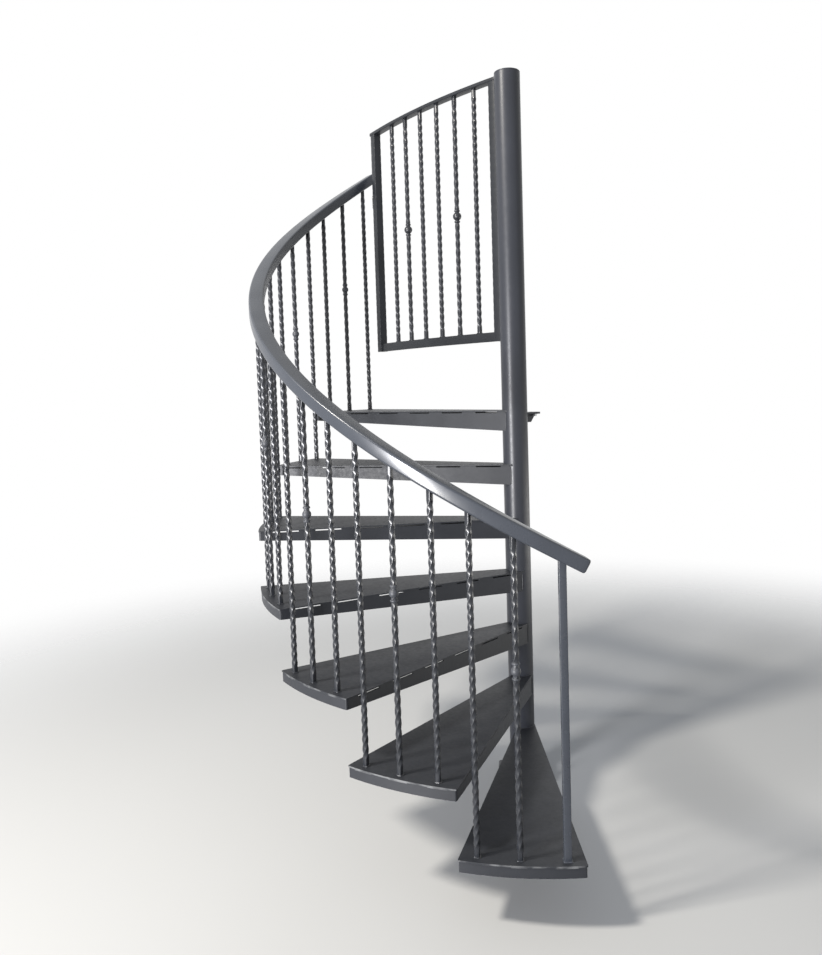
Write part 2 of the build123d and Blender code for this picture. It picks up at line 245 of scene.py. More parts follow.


# Polyester powder coat baked on steel: the eye sees a satin charcoal skin with a fine orange peel,
# slightly cloudy gloss, and a film of dust where it faces up. The weathered film mirrors a little less
# than fresh polyester, so its IOR is below 1.5. Past a radius from the column, on the lip of the treads,
# a light colour in broken streaks is a painted highlight: it stands for light glinting on the rounded edge
def powderCoat(name, look):
    material, tree, shader = newMaterial(name)
    place = addNode(tree, "ShaderNodeTexCoord").outputs["Object"]
    noise = {}
    for pattern, (detail, rough) in coat["patterns"].items():
        values = {"Scale": perMetre(look[pattern]), "Detail": detail, "Roughness": rough}
        noise[pattern] = addNode(tree, "ShaderNodeTexNoise", None, values, {"Vector": place}).outputs["Fac"]
    shade = addNode(
        tree, "ShaderNodeMix", {"data_type": "RGBA"},
        {6: toLinear(look["dark"]), 7: toLinear(look["light"])}, {0: noise["cloud"]})
    normal = addNode(tree, "ShaderNodeNewGeometry").outputs["Normal"]
    facing = addNode(tree, "ShaderNodeSeparateXYZ", links={0: normal})
    least, most = coat["dustFacing"]
    upward = addNode(
        tree, "ShaderNodeMapRange", links={"Value": facing.outputs["Z"]},
        values={"From Min": least, "From Max": most, "To Max": look["dustShare"]})
    least, most = coat["dustRange"]
    patches = addNode(
        tree, "ShaderNodeMapRange", None, {"From Min": least, "From Max": most}, {"Value": noise["film"]})
    dust = addNode(
        tree, "ShaderNodeMath", {"operation": "MULTIPLY"},
        links={0: upward.outputs[0], 1: patches.outputs[0]})
    dusted = addNode(
        tree, "ShaderNodeMix", {"data_type": "RGBA"},
        {7: toLinear(look["dust"])}, {0: dust.outputs[0], 6: shade.outputs[2]})
    paint = dusted.outputs[2]
    # Painted highlight: a light colour past a radius from the column, on the treads' lip, broken into streaks
    # by the film noise
    if "paintedLipGlint" in look:
        flat = addNode(tree, "ShaderNodeVectorMath", {"operation": "MULTIPLY"}, {1: (1, 1, 0)}, {0: place})
        reach = addNode(tree, "ShaderNodeVectorMath", {"operation": "LENGTH"}, links={0: flat.outputs[0]})
        start = look["paintedGlintRadius"] - coat["paintedGlintEdge"]
        lip = addNode(
            tree, "ShaderNodeMapRange", links={"Value": reach.outputs["Value"]},
            values={"From Min": start * metre, "From Max": look["paintedGlintRadius"] * metre})
        least, most = coat["paintedGlintRange"]
        glintStreaks = addNode(
            tree, "ShaderNodeMapRange", None, {"From Min": least, "From Max": most}, {"Value": noise["film"]})
        share = addNode(
            tree, "ShaderNodeMath", {"operation": "MULTIPLY"}, links={0: lip.outputs[0], 1: glintStreaks.outputs[0]})
        lipGlintPainted = addNode(
            tree, "ShaderNodeMix", {"data_type": "RGBA"},
            {7: toLinear(look["paintedLipGlint"])}, {0: share.outputs[0], 6: paint})
        paint = lipGlintPainted.outputs[2]
    tree.links.new(paint, shader.inputs["Base Color"])
    least, most = coat["glossRange"]
    smooth, rough = look["gloss"]
    gloss = addNode(
        tree, "ShaderNodeMapRange", links={"Value": noise["grime"]},
        values={"From Min": least, "From Max": most, "To Min": smooth, "To Max": rough})
    tree.links.new(gloss.outputs[0], shader.inputs["Roughness"])
    bump = addNode(
        tree, "ShaderNodeBump", links={"Height": noise["peel"]},
        values={"Strength": look["peelStrength"], "Distance": look["peelDepth"] * metre})
    tree.links.new(bump.outputs[0], shader.inputs["Normal"])
    shader.inputs["IOR"].default_value = look["ior"]
    return material


# Pattern sizes (film, cloud, grime, peel) and the depth of the peel are in millimetres
columnLook = {
    "dark": "#2a2c31", "light": "#34363c", "dust": "#58595a", "dustShare": 0.4, "film": 80, "cloud": 160,
    "grime": 22, "ior": 1.37, "gloss": (0.31, 0.40), "peel": 4.5, "peelStrength": 0.14, "peelDepth": 0.10,
}
treadLook = {
    "dark": "#212327", "light": "#2b2d32", "dust": "#47484a", "dustShare": 0.2, "film": 55, "cloud": 90,
    "grime": 14, "ior": 1.38, "gloss": (0.42, 0.54), "peel": 3.6, "peelStrength": 0.12, "peelDepth": 0.12,
    # The lip colour is a painted highlight on the treads' rounded edge
    "paintedLipGlint": "#6c6d6e", "paintedGlintRadius": 1035.6,
}
barLook = {
    "dark": "#212327", "light": "#2b2d32", "dust": "#545556", "dustShare": 0.25, "film": 30, "cloud": 60,
    "grime": 9, "ior": 1.45, "gloss": (0.26, 0.35), "peel": 3.0, "peelStrength": 0.12, "peelDepth": 0.08,
}
# The knuckles' colours are lighter than the bars': partly dust, partly painted light that stands for sun on
# the balls. Their coat is also more matt
knuckleDustAndLightLook = {
    "dark": "#36383d", "light": "#424449", "dust": "#626364", "dustShare": 0.3, "film": 20, "cloud": 40,
    "grime": 9, "ior": 1.45, "gloss": (0.44, 0.54), "peel": 3.0, "peelStrength": 0.12, "peelDepth": 0.08,
}
railLook = {
    "dark": "#33363c", "light": "#3d4148", "dust": "#5e6062", "dustShare": 0.2, "film": 110, "cloud": 120,
    "grime": 45, "ior": 1.45, "gloss": (0.25, 0.30), "peel": 6.0, "peelStrength": 0.05, "peelDepth": 0.08,
}
# The gate's coat is the rail's paint made darker: painted shade, as for a gate seen against the light
gateShadedLook = {
    "dark": "#1c1e21", "light": "#26282c", "dust": "#4a4b4d", "dustShare": 0.2, "film": 70, "cloud": 100,
    "grime": 15, "ior": 1.33, "gloss": (0.33, 0.42), "peel": 4.0, "peelStrength": 0.10, "peelDepth": 0.10,
}
columnPaint = powderCoat("columnPowderCoat", columnLook)
treadPaint = powderCoat("treadPowderCoat", treadLook)
barPaint = powderCoat("twistedBarPowderCoat", barLook)
knuckleDustAndLightPaint = powderCoat("knuckleDustAndLightCoat", knuckleDustAndLightLook)
railPaint = powderCoat("railPowderCoat", railLook)
gateShadedPaint = powderCoat("gateShadedPowderCoat", gateShadedLook)


# Zinc-plated steel, barrel finished: a soft bright grey with faint cloudy passivation and a turned grain
def zincPlate(name, look):
    material, tree, shader = newMaterial(name)
    shader.inputs["Metallic"].default_value = 1.0
    place = addNode(tree, "ShaderNodeTexCoord").outputs["Object"]
    clouds = addNode(
        tree, "ShaderNodeTexNoise", links={"Vector": place},
        values={"Scale": perMetre(look["cloud"]), "Detail": look["cloudDetail"]})
    shade = addNode(
        tree, "ShaderNodeMix", {"data_type": "RGBA"},
        {6: toLinear(look["dark"]), 7: toLinear(look["light"])}, {0: clouds.outputs["Fac"]})
    tree.links.new(shade.outputs[2], shader.inputs["Base Color"])
    gloss = addNode(
        tree, "ShaderNodeMapRange", links={"Value": clouds.outputs["Fac"]},
        values={"To Min": look["gloss"][0], "To Max": look["gloss"][1]})
    tree.links.new(gloss.outputs[0], shader.inputs["Roughness"])
    grain = addNode(
        tree, "ShaderNodeTexNoise", links={"Vector": place},
        values={"Scale": perMetre(look["grain"]), "Detail": look["grainDetail"]})
    bump = addNode(
        tree, "ShaderNodeBump", links={"Height": grain.outputs["Fac"]},
        values={"Strength": look["grainStrength"], "Distance": look["grainDepth"] * metre})
    tree.links.new(bump.outputs[0], shader.inputs["Normal"])
    return material


zincLook = {
    "dark": "#8f9193", "light": "#c2c3c2", "cloud": 9, "cloudDetail": 5, "gloss": (0.28, 0.46),
    "grain": 0.9, "grainDetail": 2, "grainStrength": 0.25, "grainDepth": 0.05,
}
boltZinc = zincPlate("zincPlatedSteel", zincLook)
print("finishes mixed")

# Hexagon head or nut with its washer. Values from "washerFlat" on are shares of the ones before it
boltLook = {
    "flats": 17.0, "head": 8.0, "washer": 24.0, "washerThick": 2.5,
    "shank": 10.0, "threadPitch": 0.75, "tip": 0.8,
    "washerFlat": 0.8, "washerRound": 0.2, "headFlat": 0.86, "headRound": 0.9,
    "threadRoot": 0.9, "tipRound": 0.7,
}


# Stands on the matrix's XY plane, with a threaded stud through it if one is asked for
def addHexNut(mesh, matrix, stud=0.0, scale=1.0):
    across = boltLook["flats"] * scale / math.sqrt(3)
    washer = boltLook["washerThick"] * scale
    head = boltLook["head"] * scale
    edge = boltLook["washer"] * scale / 2
    rim = [(edge, 0), (edge, washer * boltLook["washerFlat"])]
    rim.append((edge - washer * boltLook["washerRound"], washer))
    addTurned(mesh, matrix, rim, count=28)
    hexagon = roundOutline(across, 6)
    small = roundOutline(across * boltLook["headRound"], 6)
    top = washer + head
    levels = [(hexagon, washer), (hexagon, washer + head * boltLook["headFlat"]), (small, top)]
    addLoft(mesh, [raised(matrix, outline, z) for outline, z in levels])
    if stud:
        shank = boltLook["shank"] * scale / 2
        turns = int(stud / boltLook["threadPitch"])
        rings = []
        for i in range(turns + 1):
            size = shank * (1.0 if i % 2 else boltLook["threadRoot"])
            rings.append((size, top + stud * i / turns))
        rings.append((shank * boltLook["tipRound"], top + stud + boltLook["tip"]))
        addTurned(mesh, matrix, rings, count=20)


# Column, cap and base
base = {
    "width": 203.0, "thick": 12.0, "corner": 12.0, "edge": 1.2, "weld": 4.5,
    "anchors": 152.0, "stud": 14.0, "nutScale": 1.2, "nutTurn": 17,
    "sides": 96, "spans": 14, "capThick": 6.0, "capEdge": 4.0, "capSteps": 6, "capShares": (0.8, 0.4, 0.05),
    "grooveDeep": 1.2, "grooveHigh": 0.8, "capInset": 0.2,
}


def buildColumn():
    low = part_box("center_column")[0].z / metre
    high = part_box("center_column")[1].z / metre
    radius = layout["columnRadius"]
    upright = Matrix.Identity(4)
    mesh = bmesh.new()
    tube = [(radius, low + (high - low) * i / base["spans"]) for i in range(base["spans"] + 1)]
    addTurned(mesh, upright, tube, base["sides"])
    addPiece("columnTube", mesh, "stair", columnPaint, ["center_column"])
    mesh = bmesh.new()
    edge = base["capEdge"]
    top = high + base["capThick"]
    profile = [(radius - base["grooveDeep"], high), (radius - base["capInset"], high + base["grooveHigh"])]
    for i in range(base["capSteps"] + 1):
        turn = math.radians(90 * i / base["capSteps"])
        profile.append((radius - edge + edge * math.cos(turn), top - edge + edge * math.sin(turn)))
    profile += [(radius * share, top) for share in base["capShares"]]
    addTurned(mesh, upright, profile, base["sides"])
    addPiece("columnCap", mesh, "stair", columnPaint, ["column_cap"])
    mesh = bmesh.new()
    outline = boxOutline(base["width"], base["width"], base["corner"], steps=6)
    addLoft(mesh, [raised(upright, outline, z) for z in (0.0, base["thick"])])
    addPiece("basePlate", mesh, "stair", columnPaint, ["base_plate"], bevel=base["edge"])
    mesh = bmesh.new()
    addBead(mesh, raised(upright, roundOutline(radius + 0.6, 60), low + 0.6), base["weld"], closed=True)
    addPiece("baseWeld", mesh, "stair", columnPaint)
    mesh = bmesh.new()
    for x in (-0.5, 0.5):
        for y in (-0.5, 0.5):
            spot = Vector((x * base["anchors"], y * base["anchors"], base["thick"]))
            addHexNut(mesh, placed(spot, base["nutTurn"] * x), base["stud"], base["nutScale"])
    addPiece("anchorBolts", mesh, "stair", boltZinc, sharp=30)


buildColumn()
print("column built")

# Treads
tread = {
    "radius": 1036.0, "angle": 21.2, "plate": 5.0, "lip": 2.0, "corner": 5.0,
    "frontOffset": 50.5, "backOffset": 14.0, "bar": 6.0, "rimDepth": 33.0, "rootDepth": 77.0, "seat": 0.2,
    "slotLength": 100.0, "slotHeight": 5.0, "slotPitch": 165.0, "slotStart": 40.0, "slots": 6, "edge": 0.9,
    "cornerStations": (0, 0.4, 1.0, 1.9, 3.0, 4.2),     # distances from an end that shape its rounding
}
treadWelds = {
    "size": 2.6, "gap": 5.0, "topGap": 6.0, "lowGap": 4.0,
    "stitch": 70.0, "stitchSize": 2.0, "stitchAt": (0.16, 0.5, 0.84), "stitchDrop": 1.2,
    "columnSize": 1.6, "columnTurn": 3, "frontReach": 6.0, "backReach": 49.0,
}
# Azimuth, distance from the axis and outward sense of the straight sides
treadSides = {"front": (0, tread["frontOffset"], 1), "back": (-tread["angle"], tread["backOffset"], -1)}


# Straight side of a tread in its own frame, whose outer front corner is on +X
def sideLine(azimuth, offset, sign, inset):
    direction = azimuth - sign * math.degrees(math.asin(offset / tread["radius"]))
    near = offset - inset
    foot = polar(near, direction + sign * 90)
    return foot, direction, near, reachOf(tread["radius"] - inset, near)


# Swaps a corner for a small arc that starts and ends a given length before and after it
def roundedCorner(before, corner, after, length, steps=5):
    start = corner + (before - corner).normalized() * length
    end = corner + (after - corner).normalized() * length
    points = []
    for i in range(steps + 1):
        t = i / steps
        points.append(start.lerp(corner, t).lerp(corner.lerp(end, t), t))
    return points


def plateOutline():
    starts, corners = [], []
    for line in treadSides.values():
        foot, direction, near, reach = sideLine(*line, 0)
        starts.append(foot + polar(reachOf(layout["columnRadius"], near), direction))
        corners.append(foot + polar(reach, direction))
    rim = arcPoints(tread["radius"], azimuthOf(corners[0]), azimuthOf(corners[1]), count=44)
    outline = [starts[0]]
    outline += roundedCorner(starts[0], corners[0], rim[1], tread["corner"])
    outline += rim[1:-1]
    outline += roundedCorner(rim[-2], corners[1], starts[1], tread["corner"])
    outline += arcPoints(layout["columnRadius"], azimuthOf(starts[1]), azimuthOf(starts[0]), count=24)[:-1]
    return outline[::-1]


def addSideBar(mesh, matrix, azimuth, offset, sign):
    foot, direction, near, reach = sideLine(azimuth, offset, sign, tread["lip"])
    local = matrix @ placed(foot, direction)
    top = -tread["plate"] - tread["seat"]
    under = top - tread["slotHeight"]
    start = reachOf(layout["columnRadius"], near)
    inside = tread["radius"] - tread["lip"] - tread["bar"] - tread["seat"]
    taper = (tread["rootDepth"] - tread["rimDepth"]) / (reach - start)
    rings = []
    for depth in (0.0, tread["bar"]):
        first = reachOf(layout["columnRadius"], near - depth)
        last = reachOf(inside, near - depth)
        side = [(first, top)]
        for i in range(tread["slots"]):
            x = start + tread["slotStart"] + i * tread["slotPitch"]
            end = x + tread["slotLength"]
            side += [(x, top), (x, under), (end, under), (end, top)]
        side.append((last, top))
        side += [(x, top - tread["rootDepth"] + taper * (x - start)) for x in (last, first)]
        rings.append([local @ Vector((x, -sign * depth, z)) for x, z in side])
    addLoft(mesh, rings)


# Welds of one side bar: stitches under the plate between the slots, and a bead down the column
def addSideWelds(mesh, matrix, azimuth, offset, sign):
    foot, direction, near = sideLine(azimuth, offset, sign, tread["lip"])[:3]
    local = matrix @ placed(foot, direction)
    top = -tread["plate"] - tread["seat"]
    start = reachOf(layout["columnRadius"], near)
    inner = -sign * (tread["bar"] + 0.4)
    space = tread["slotPitch"] - tread["slotLength"]
    for i in range(tread["slots"] - 1):
        x = start + tread["slotStart"] + tread["slotLength"] + i * tread["slotPitch"]
        ends = (x + treadWelds["gap"], x + space - treadWelds["gap"])
        addBead(mesh, [local @ Vector((end, inner, top - 0.5)) for end in ends], treadWelds["size"])
    for depth in (-0.3, tread["bar"] + 0.3):
        x = reachOf(layout["columnRadius"], near - depth) + 0.4
        heights = (top - treadWelds["topGap"], top - tread["rootDepth"] + treadWelds["lowGap"])
        addBead(mesh, [local @ Vector((x, -sign * depth, z)) for z in heights], treadWelds["size"])


def addRim(mesh, matrix):
    outer = tread["radius"] - tread["lip"]
    inner = outer - tread["bar"]
    ends = []
    for line in treadSides.values():
        foot, direction, near, reach = sideLine(*line, tread["lip"])
        innerEnd = foot + polar(reachOf(inner, near), direction)
        ends.append((azimuthOf(foot + polar(reach, direction)), azimuthOf(innerEnd)))
    front, back = ends
    span = math.radians(front[0] - back[0]) * outer
    top = -tread["plate"]
    bottom = top - tread["rimDepth"]
    rings = []
    for share in stationShares(span, tread["cornerStations"], count=60):
        outward, inward = (front[k] + (back[k] - front[k]) * share for k in (0, 1))
        edge = outer - drawnIn(min(share, 1 - share) * span, tread["corner"])
        inside, outside = (inner, inward), (edge, outward)
        section = [(*inside, bottom), (*outside, bottom), (*outside, top), (*inside, top)]
        rings.append([matrix @ polar(*corner) for corner in section])
    addLoft(mesh, rings)


# Stitches between the rim and the plate's lip, and a bead under and over the plate along the column
def addRimWelds(mesh, matrix):
    under = tread["radius"] - tread["lip"]
    half = math.degrees(treadWelds["stitch"] / 2 / under)
    low = -tread["plate"] - treadWelds["stitchDrop"]
    for share in treadWelds["stitchAt"]:
        middle = -tread["angle"] * share
        line = [matrix @ polar(under + 0.1, middle + half * side, low) for side in (1, 0.5, 0, -0.5, -1)]
        addBead(mesh, line, treadWelds["stitchSize"])
    ends = []
    for line, reach in zip(treadSides.values(), (treadWelds["frontReach"], treadWelds["backReach"])):
        foot, direction = sideLine(*line, 0)[:2]
        ends.append(azimuthOf(foot + polar(reach, direction)))
    start, end = ends[1] + treadWelds["columnTurn"], ends[0] - treadWelds["columnTurn"]
    arc = arcPoints(layout["columnRadius"] + 0.4, start, end, count=30)
    addBead(mesh, raised(matrix, arc, -tread["plate"] - 0.4), treadWelds["size"])
    addBead(mesh, raised(matrix, arc, 0.3), treadWelds["columnSize"])


def buildTread(number):
    turn = layout["firstNosing"] - (number - 1) * layout["step"]
    matrix = placed(Vector((0, 0, number * layout["rise"])), turn)
    name, node = f"tread{number}", f"tread_{number}"
    mesh = bmesh.new()
    outline = plateOutline()
    addLoft(mesh, [raised(matrix, outline, -tread["plate"]), raised(matrix, outline, 0)])
    addPiece(name + "Plate", mesh, "stair", treadPaint, [node + "_plate"], bevel=tread["edge"])
    for side, line in treadSides.items():
        mesh = bmesh.new()
        addSideBar(mesh, matrix, *line)
        piece, barNode = f"{name}{side.title()}Bar", f"{node}_{side}_bar"
        addPiece(piece, mesh, "stair", treadPaint, [barNode], bevel=tread["edge"] / 2)
    mesh = bmesh.new()
    addRim(mesh, matrix)
    addPiece(name + "Rim", mesh, "stair", treadPaint, [node + "_rim"], bevel=tread["edge"])
    mesh = bmesh.new()
    for line in treadSides.values():
        addSideWelds(mesh, matrix, *line)
    addRimWelds(mesh, matrix)
    addPiece(name + "Welds", mesh, "stair", treadPaint)


for number in range(1, layout["treads"] + 1):
    buildTread(number)
print("treads built")

# Twisted square bars. A quarter turn of the twist takes one pitch
bar = {
    "side": 16.0, "edge": 2.8, "pitch": 31.0, "knucklePitch": 36.0,
    "plainFoot": 25.0, "plainTop": 30.0, "ring": 4.0, "weld": 2.4,
}
# Ball between two collars, on some of the bars
knuckle = {
    "ball": 15.0, "steps": 16, "share": 0.59,
    "collar": 12.5, "collarHigh": 7.0, "collarAt": 23.5, "neck": 9.6, "sunk": 0.4,
}
# Handrail: a little flatter than the stair at its lower end and steeper at its upper end. "high" is the
# azimuth of its upper end, and "middle" is one about half way up
rail = {
    "width": 58.0, "depth": 43.5, "corner": 8.0, "cornerLeast": 2.0, "endRound": 6.0, "cap": 4.0,
    "undersideAtNewel": 1104.5, "lowOverhang": 3.7, "high": 132.0, "middle": 200,
    "steepness": 1.008, "easing": 0.069, "stationAngle": 1.0,
}
railLow = layout["newelAzimuth"] + rail["lowOverhang"]
railTurn = math.radians(railLow - rail["high"])
railSlope = rail["steepness"] * layout["rise"] / math.radians(layout["step"])


def railClimb(azimuth):
    turn = math.radians(railLow - azimuth)
    return railSlope * turn * (1 - rail["easing"] + rail["easing"] * turn / railTurn)


def railPitch(azimuth):
    turn = math.radians(railLow - azimuth)
    slope = railSlope * (1 - rail["easing"] + 2 * rail["easing"] * turn / railTurn)
    return math.atan2(slope, layout["postRadius"])


def railUnderside(azimuth):
    return rail["undersideAtNewel"] + railClimb(azimuth) - railClimb(layout["newelAzimuth"])


def addTwistedBar(mesh, matrix, low, high, knuckled, slope=0.0):
    pitch = bar["knucklePitch"] if knuckled else bar["pitch"]
    outline = boxOutline(bar["side"], bar["side"], bar["edge"], steps=2)
    first = low + bar["plainFoot"]
    last = high - bar["plainTop"]
    count = round((last - first) / bar["ring"])
    rings = [raised(matrix, outline, low)]
    for i in range(count + 1):
        twist = Matrix.Rotation(math.radians(90 * (last - first) / pitch * i / count), 3, "Z")
        turned = [twist @ point for point in outline]
        rings.append(raised(matrix, turned, first + (last - first) * i / count))
    rings.append(sloped(matrix, turned, high, slope))
    addLoft(mesh, rings)
    addFootWeld(mesh, matrix, bar["side"], low, bar["weld"])


# Each collar has a rounded lip towards the ball, a flat band, and a slope down to the bar
def addKnuckle(mesh, matrix, z, ball):
    collar, neck = knuckle["collar"], knuckle["neck"]
    inner = knuckle["collarAt"] - knuckle["collarHigh"] / 2
    outer = knuckle["collarAt"] + knuckle["collarHigh"] / 2
    mouth = neck - knuckle["sunk"]
    ring = [
        (mouth, inner - 0.1), (collar - 1.0, inner), (collar, inner + 1.2), (collar, inner + 2.8),
        (collar - 1.4, outer - 1.6), (neck, outer),
    ]
    start = math.degrees(math.asin(mouth / ball))
    middle = []
    for i in range(knuckle["steps"] + 1):
        turn = math.radians(start + (180 - 2 * start) * i / knuckle["steps"])
        middle.append((ball * math.sin(turn), -ball * math.cos(turn)))
    profile = [(radius, -height) for radius, height in ring[::-1]] + middle + ring
    addTurned(mesh, matrix, [(radius, z + height) for radius, height in profile], count=40)


def buildBars(number):
    bars = bmesh.new()
    knuckles = bmesh.new()
    low = number * layout["rise"]
    for place in range(layout["postsPerTread"]):
        if number == 1 and place == 0:
            continue            # the newel stands beside this place
        azimuth = layout["postAzimuth"] - (number - 1) * layout["postTreadStep"] - place * layout["postStep"]
        matrix = placed(polar(layout["postRadius"], azimuth), azimuth)
        high = railUnderside(azimuth) - tread["seat"]
        knuckled = place == 1
        addTwistedBar(bars, matrix, low, high, knuckled, math.tan(railPitch(azimuth)))
        if knuckled:
            addKnuckle(knuckles, matrix, low + knuckle["share"] * (high - low), knuckle["ball"])
    name, node = f"tread{number}", f"tread_{number}_balusters"
    addPiece(name + "Bars", bars, "stair", barPaint, [node], sharp=50)
    # The knuckles take the lightened colour: dust with painted light on the balls
    addPiece(name + "Knuckle", knuckles, "stair", knuckleDustAndLightPaint, sharp=50)


for number in range(1, layout["treads"] + 1):
    buildBars(number)
print("twisted bars built")

# Newel post and handrail
newel = {"side": 22.2, "corner": 2.0, "weld": 3.0, "spans": 8, "slopeRoom": 20}


def buildNewel():
    azimuth = layout["newelAzimuth"]
    matrix = placed(polar(layout["postRadius"], azimuth), azimuth)
    low = layout["rise"]
    high = railUnderside(azimuth) - tread["seat"]
    outline = boxOutline(newel["side"], newel["side"], newel["corner"])
    straight = high - newel["slopeRoom"] - low
    rings = [raised(matrix, outline, low + straight * i / newel["spans"]) for i in range(newel["spans"] + 1)]
    rings.append(sloped(matrix, outline, high, math.tan(railPitch(azimuth))))
    mesh = bmesh.new()
    addLoft(mesh, rings)
    addFootWeld(mesh, matrix, newel["side"], low, newel["weld"])
    addPiece("newelPost", mesh, "stair", railPaint, ["newel_post"])


def buildHandrail():
    capAngle = math.degrees(rail["cap"] / layout["postRadius"])
    low = railLow + capAngle
    high = rail["high"] - capAngle
    count = round((low - high) / rail["stationAngle"])
    length = math.radians(low - high) * layout["postRadius"] / math.cos(railPitch(rail["middle"]))
    rings = []
    for share in stationShares(length, (0, 0.5, 1.4, 2.8, 4.6, rail["endRound"]), count=count):
        azimuth = low + (high - low) * share
        cut = drawnIn(min(share, 1 - share) * length, rail["endRound"])
        corner = max(rail["cornerLeast"], rail["corner"] - cut * 0.5)
        section = boxOutline(rail["width"] - 2 * cut, rail["depth"] - 2 * cut, corner, steps=5)
        pitch = railPitch(azimuth)
        outward = polar(1, azimuth)
        ahead = polar(1, azimuth - 90)
        normal = Vector((0, 0, math.cos(pitch))) - ahead * math.sin(pitch)
        height = railUnderside(azimuth) + rail["depth"] / 2 / math.cos(pitch)
        centre = polar(layout["postRadius"], azimuth, height)
        rings.append([centre + outward * point.x + normal * point.y for point in section])
    mesh = bmesh.new()
    addLoft(mesh, rings)
    nodes = ["handrail", "handrail_lower_cap", "handrail_upper_cap"]
    addPiece("handrailTube", mesh, "stair", railPaint, nodes)


buildNewel()
buildHandrail()
print("handrail built")

# Gate: a bowed frame on two hinges, in its own frame whose X runs from the hinge stile to the latch stile
gate = {
    "innerRadius": 77.0, "innerAzimuth": 132.2, "outerRadius": 910.0, "outerAzimuth": 133.9, "bow": 30.0,
    "railWidth": 38.0, "railThick": 14.0, "railCorner": 2.6, "railEnd": 2.0, "overhang": 26.0,
    "bottomHigh": 38.0, "bottomThick": 20.0, "bottomCorner": 2.0, "bottomEnd": 0.6,
    "stile": 36.0, "stileCorner": 2.6, "hammerPitch": 33.0, "hammerDepth": 1.6, "weld": 2.6, "weldGap": 3,
    "bars": 6, "firstGap": 109.0, "barPitch": 113.5, "knuckles": (2, 5), "knuckleShare": 0.504, "ball": 18.0,
}
hingeEnd = polar(gate["innerRadius"], gate["innerAzimuth"])
latchEnd = polar(gate["outerRadius"], gate["outerAzimuth"])
chord = latchEnd - hingeEnd
gateMatrix = placed(hingeEnd, azimuthOf(chord))
bowRadius = chord.length ** 2 / (8 * gate["bow"]) + gate["bow"] / 2
bowCentre = Vector((chord.length / 2, gate["bow"] - bowRadius, 0))
halfBow = math.degrees(math.atan2(chord.length / 2, bowRadius - gate["bow"]))
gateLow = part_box("gate_bottom_rail")[0].z / metre
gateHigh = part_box("gate_top_rail")[1].z / metre
railSeat = gateHigh - gate["railThick"]


def onBow(angle, radius=bowRadius, z=0.0):
    turn = math.radians(angle)
    return bowCentre + Vector((radius * math.sin(turn), radius * math.cos(turn), z))


# Place of an upright on the bow, with its Y square to the bow
def gatePlace(angle):
    return gateMatrix @ placed(onBow(angle), -angle)


def addBowBar(mesh, start, end, width, thick, z, corner, endRound):
    length = math.radians(end - start) * bowRadius
    middle = z + thick / 2
    rings = []
    for share in stationShares(length, (0, 0.3, 1.0, endRound), count=48):
        angle = start + (end - start) * share
        cut = drawnIn(min(share, 1 - share) * length, endRound)
        section = boxOutline(width - 2 * cut, thick - 2 * cut, corner)
        rings.append([gateMatrix @ onBow(angle, bowRadius + point.x, middle + point.y) for point in section])
    addLoft(mesh, rings)


# Square tube whose four edges were hammered: a dent every few centimetres catches the light
def addHammeredTube(mesh, matrix, low, high, side):
    stations = 8                # between two dents
    count = round((high - low) / (gate["hammerPitch"] / stations))
    rings = []
    for i in range(count + 1):
        wave = 0.5 - 0.5 * math.cos(2 * math.pi * i / stations)
        corner = gate["stileCorner"] + gate["hammerDepth"] * wave ** 2
        rings.append(raised(matrix, boxOutline(side, side, corner), low + (high - low) * i / count))
    addLoft(mesh, rings)


def buildStile(name, node, angle, side):
    mesh = bmesh.new()
    matrix = gatePlace(angle)
    addHammeredTube(mesh, matrix, gateLow, railSeat - tread["seat"], gate["stile"])
    heights = (gateLow + gate["weldGap"], gateLow + (gate["bottomHigh"] - gate["weldGap"]))
    for y in (-1, 1):
        spot = (side * (gate["stile"] / 2 + 0.3), y * (gate["bottomThick"] / 2 + 0.3))
        addBead(mesh, [matrix @ Vector((*spot, z)) for z in heights], gate["weld"])
    addPiece(name, mesh, "gate", gateShadedPaint, [node])


def buildGate():
    tip = math.degrees((gate["stile"] / 2) / bowRadius)
    over = math.degrees(gate["overhang"] / bowRadius)
    mesh = bmesh.new()
    addBowBar(mesh, -halfBow - tip, halfBow + over, gate["railWidth"], gate["railThick"], railSeat,
              gate["railCorner"], gate["railEnd"])
    # The gate's frame takes the darkened coat: painted shade
    addPiece("gateTopRail", mesh, "gate", gateShadedPaint, ["gate_top_rail"])
    mesh = bmesh.new()
    addBowBar(mesh, -halfBow + tip, halfBow - tip, gate["bottomThick"], gate["bottomHigh"], gateLow,
              gate["bottomCorner"], gate["bottomEnd"])
    addPiece("gateBottomRail", mesh, "gate", gateShadedPaint, ["gate_bottom_rail"])
    buildStile("gateHingeStile", "gate_hinge_stile", -halfBow, 1)
    buildStile("gateLatchStile", "gate_latch_stile", halfBow, -1)
    mesh = bmesh.new()
    low = gateLow + gate["bottomHigh"]
    high = railSeat - tread["seat"]
    for place in range(1, gate["bars"] + 1):
        angle = -halfBow + math.degrees((gate["firstGap"] + (place - 1) * gate["barPitch"]) / bowRadius)
        matrix = gatePlace(angle)
        knuckled = place in gate["knuckles"]
        addTwistedBar(mesh, matrix, low, high, knuckled)
        if knuckled:
            addKnuckle(mesh, matrix, low + gate["knuckleShare"] * (high - low), gate["ball"])
    addPiece("gateBars", mesh, "gate", barPaint, ["gate_balusters"], sharp=50)


buildGate()
print("gate built")

